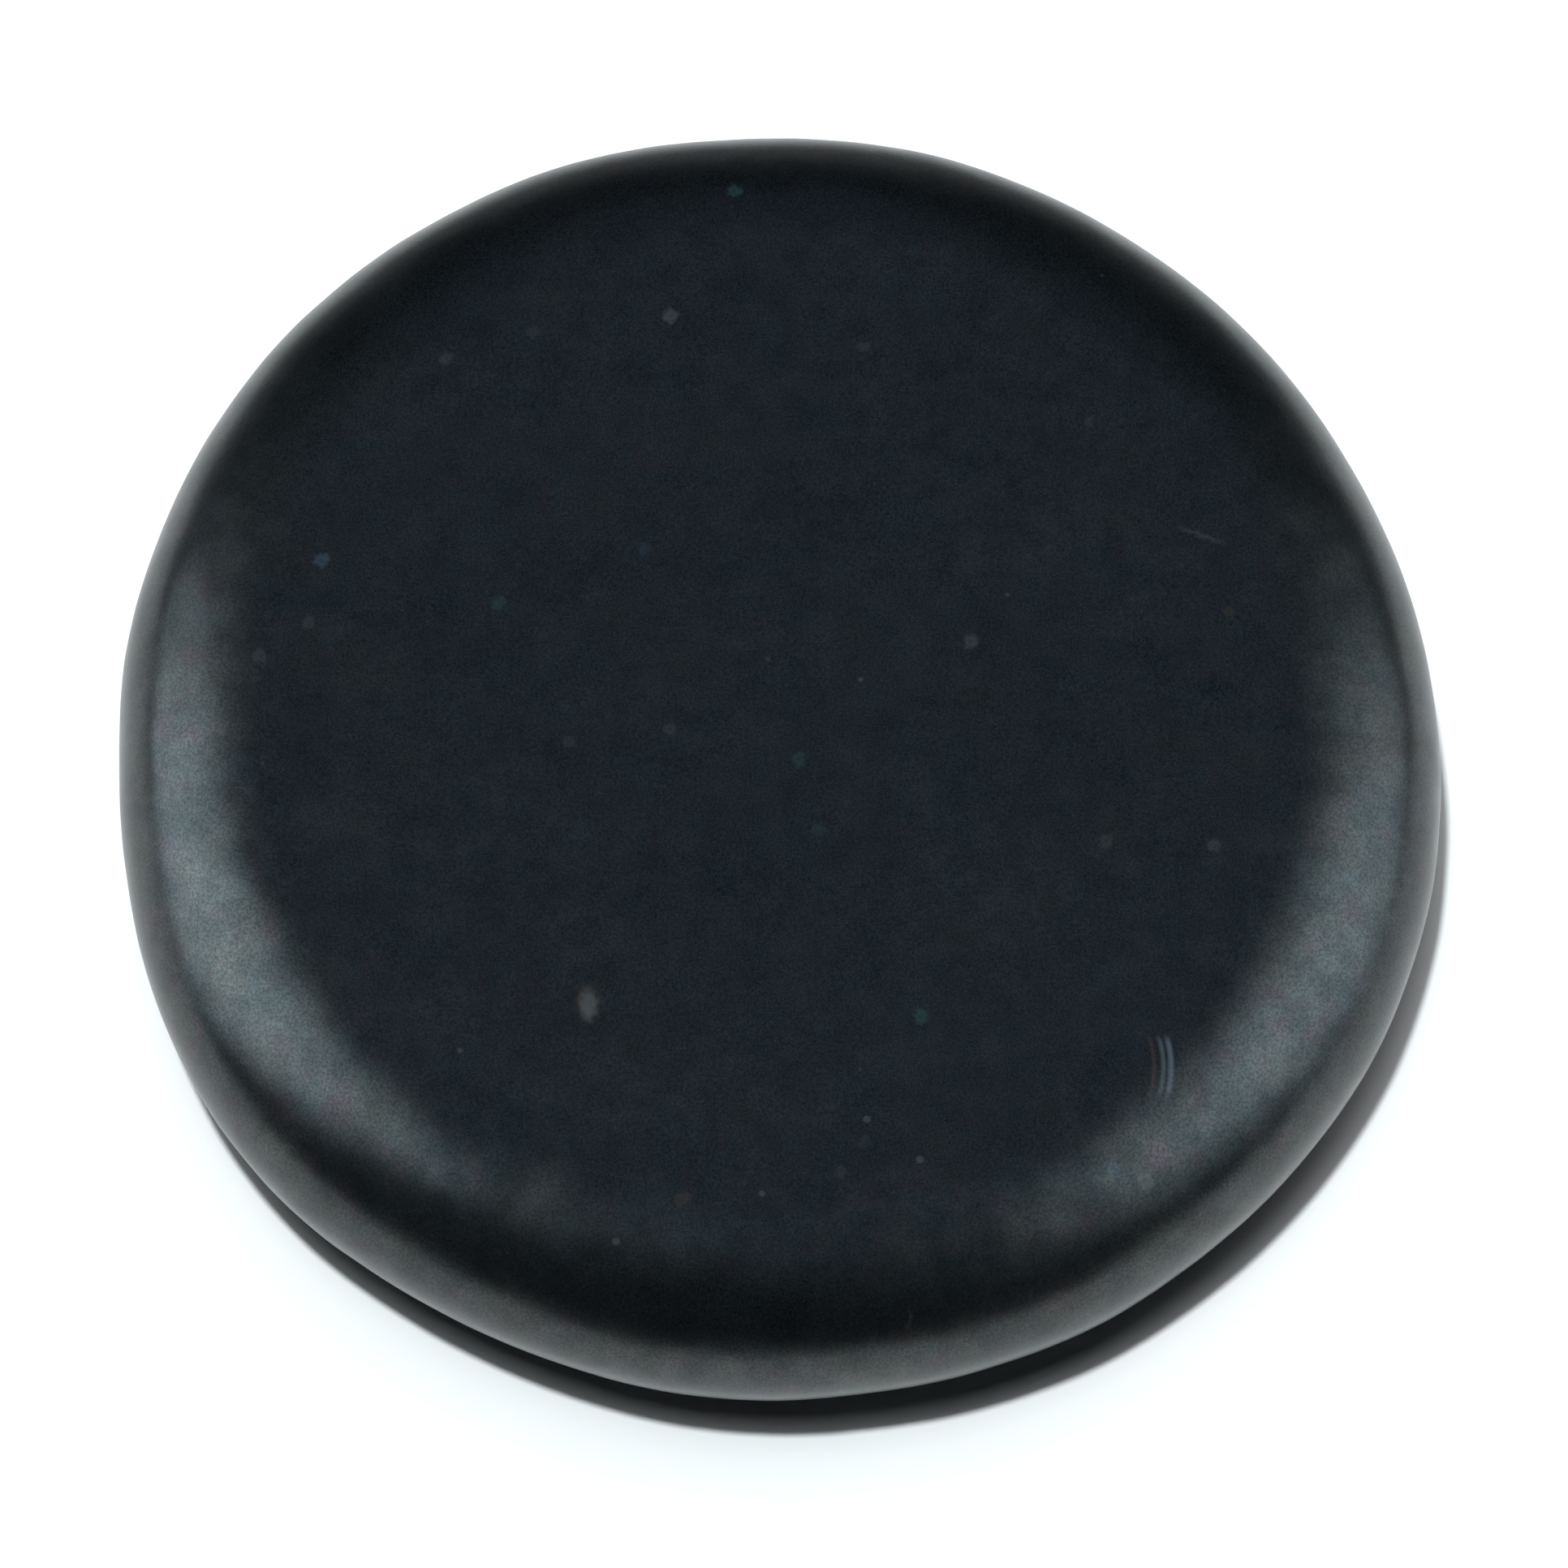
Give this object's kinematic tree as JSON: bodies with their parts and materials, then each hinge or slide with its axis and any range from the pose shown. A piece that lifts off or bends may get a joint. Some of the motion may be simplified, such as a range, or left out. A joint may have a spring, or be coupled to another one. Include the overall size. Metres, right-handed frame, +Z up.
{
  "type": "massage stone",
  "caption": "Flat, smooth, slightly oval disc of dark basalt with a full round rim, warmed or cooled and used by hand or laid on the body in massage.",
  "frame": {"origin": "centre of the outline, on the plane of the flat underside", "axes": "+Z up through the thickness, +X along the long axis of the slightly oval outline, +Y along the short axis"},
  "size_m": [0.0602, 0.0598, 0.0114],
  "materials": {
    "basalt": "satin, worn smooth and lightly oiled"
  },
  "bodies": {
    "root": {"basalt_stone": "basalt"}
  },
  "joints": []
}
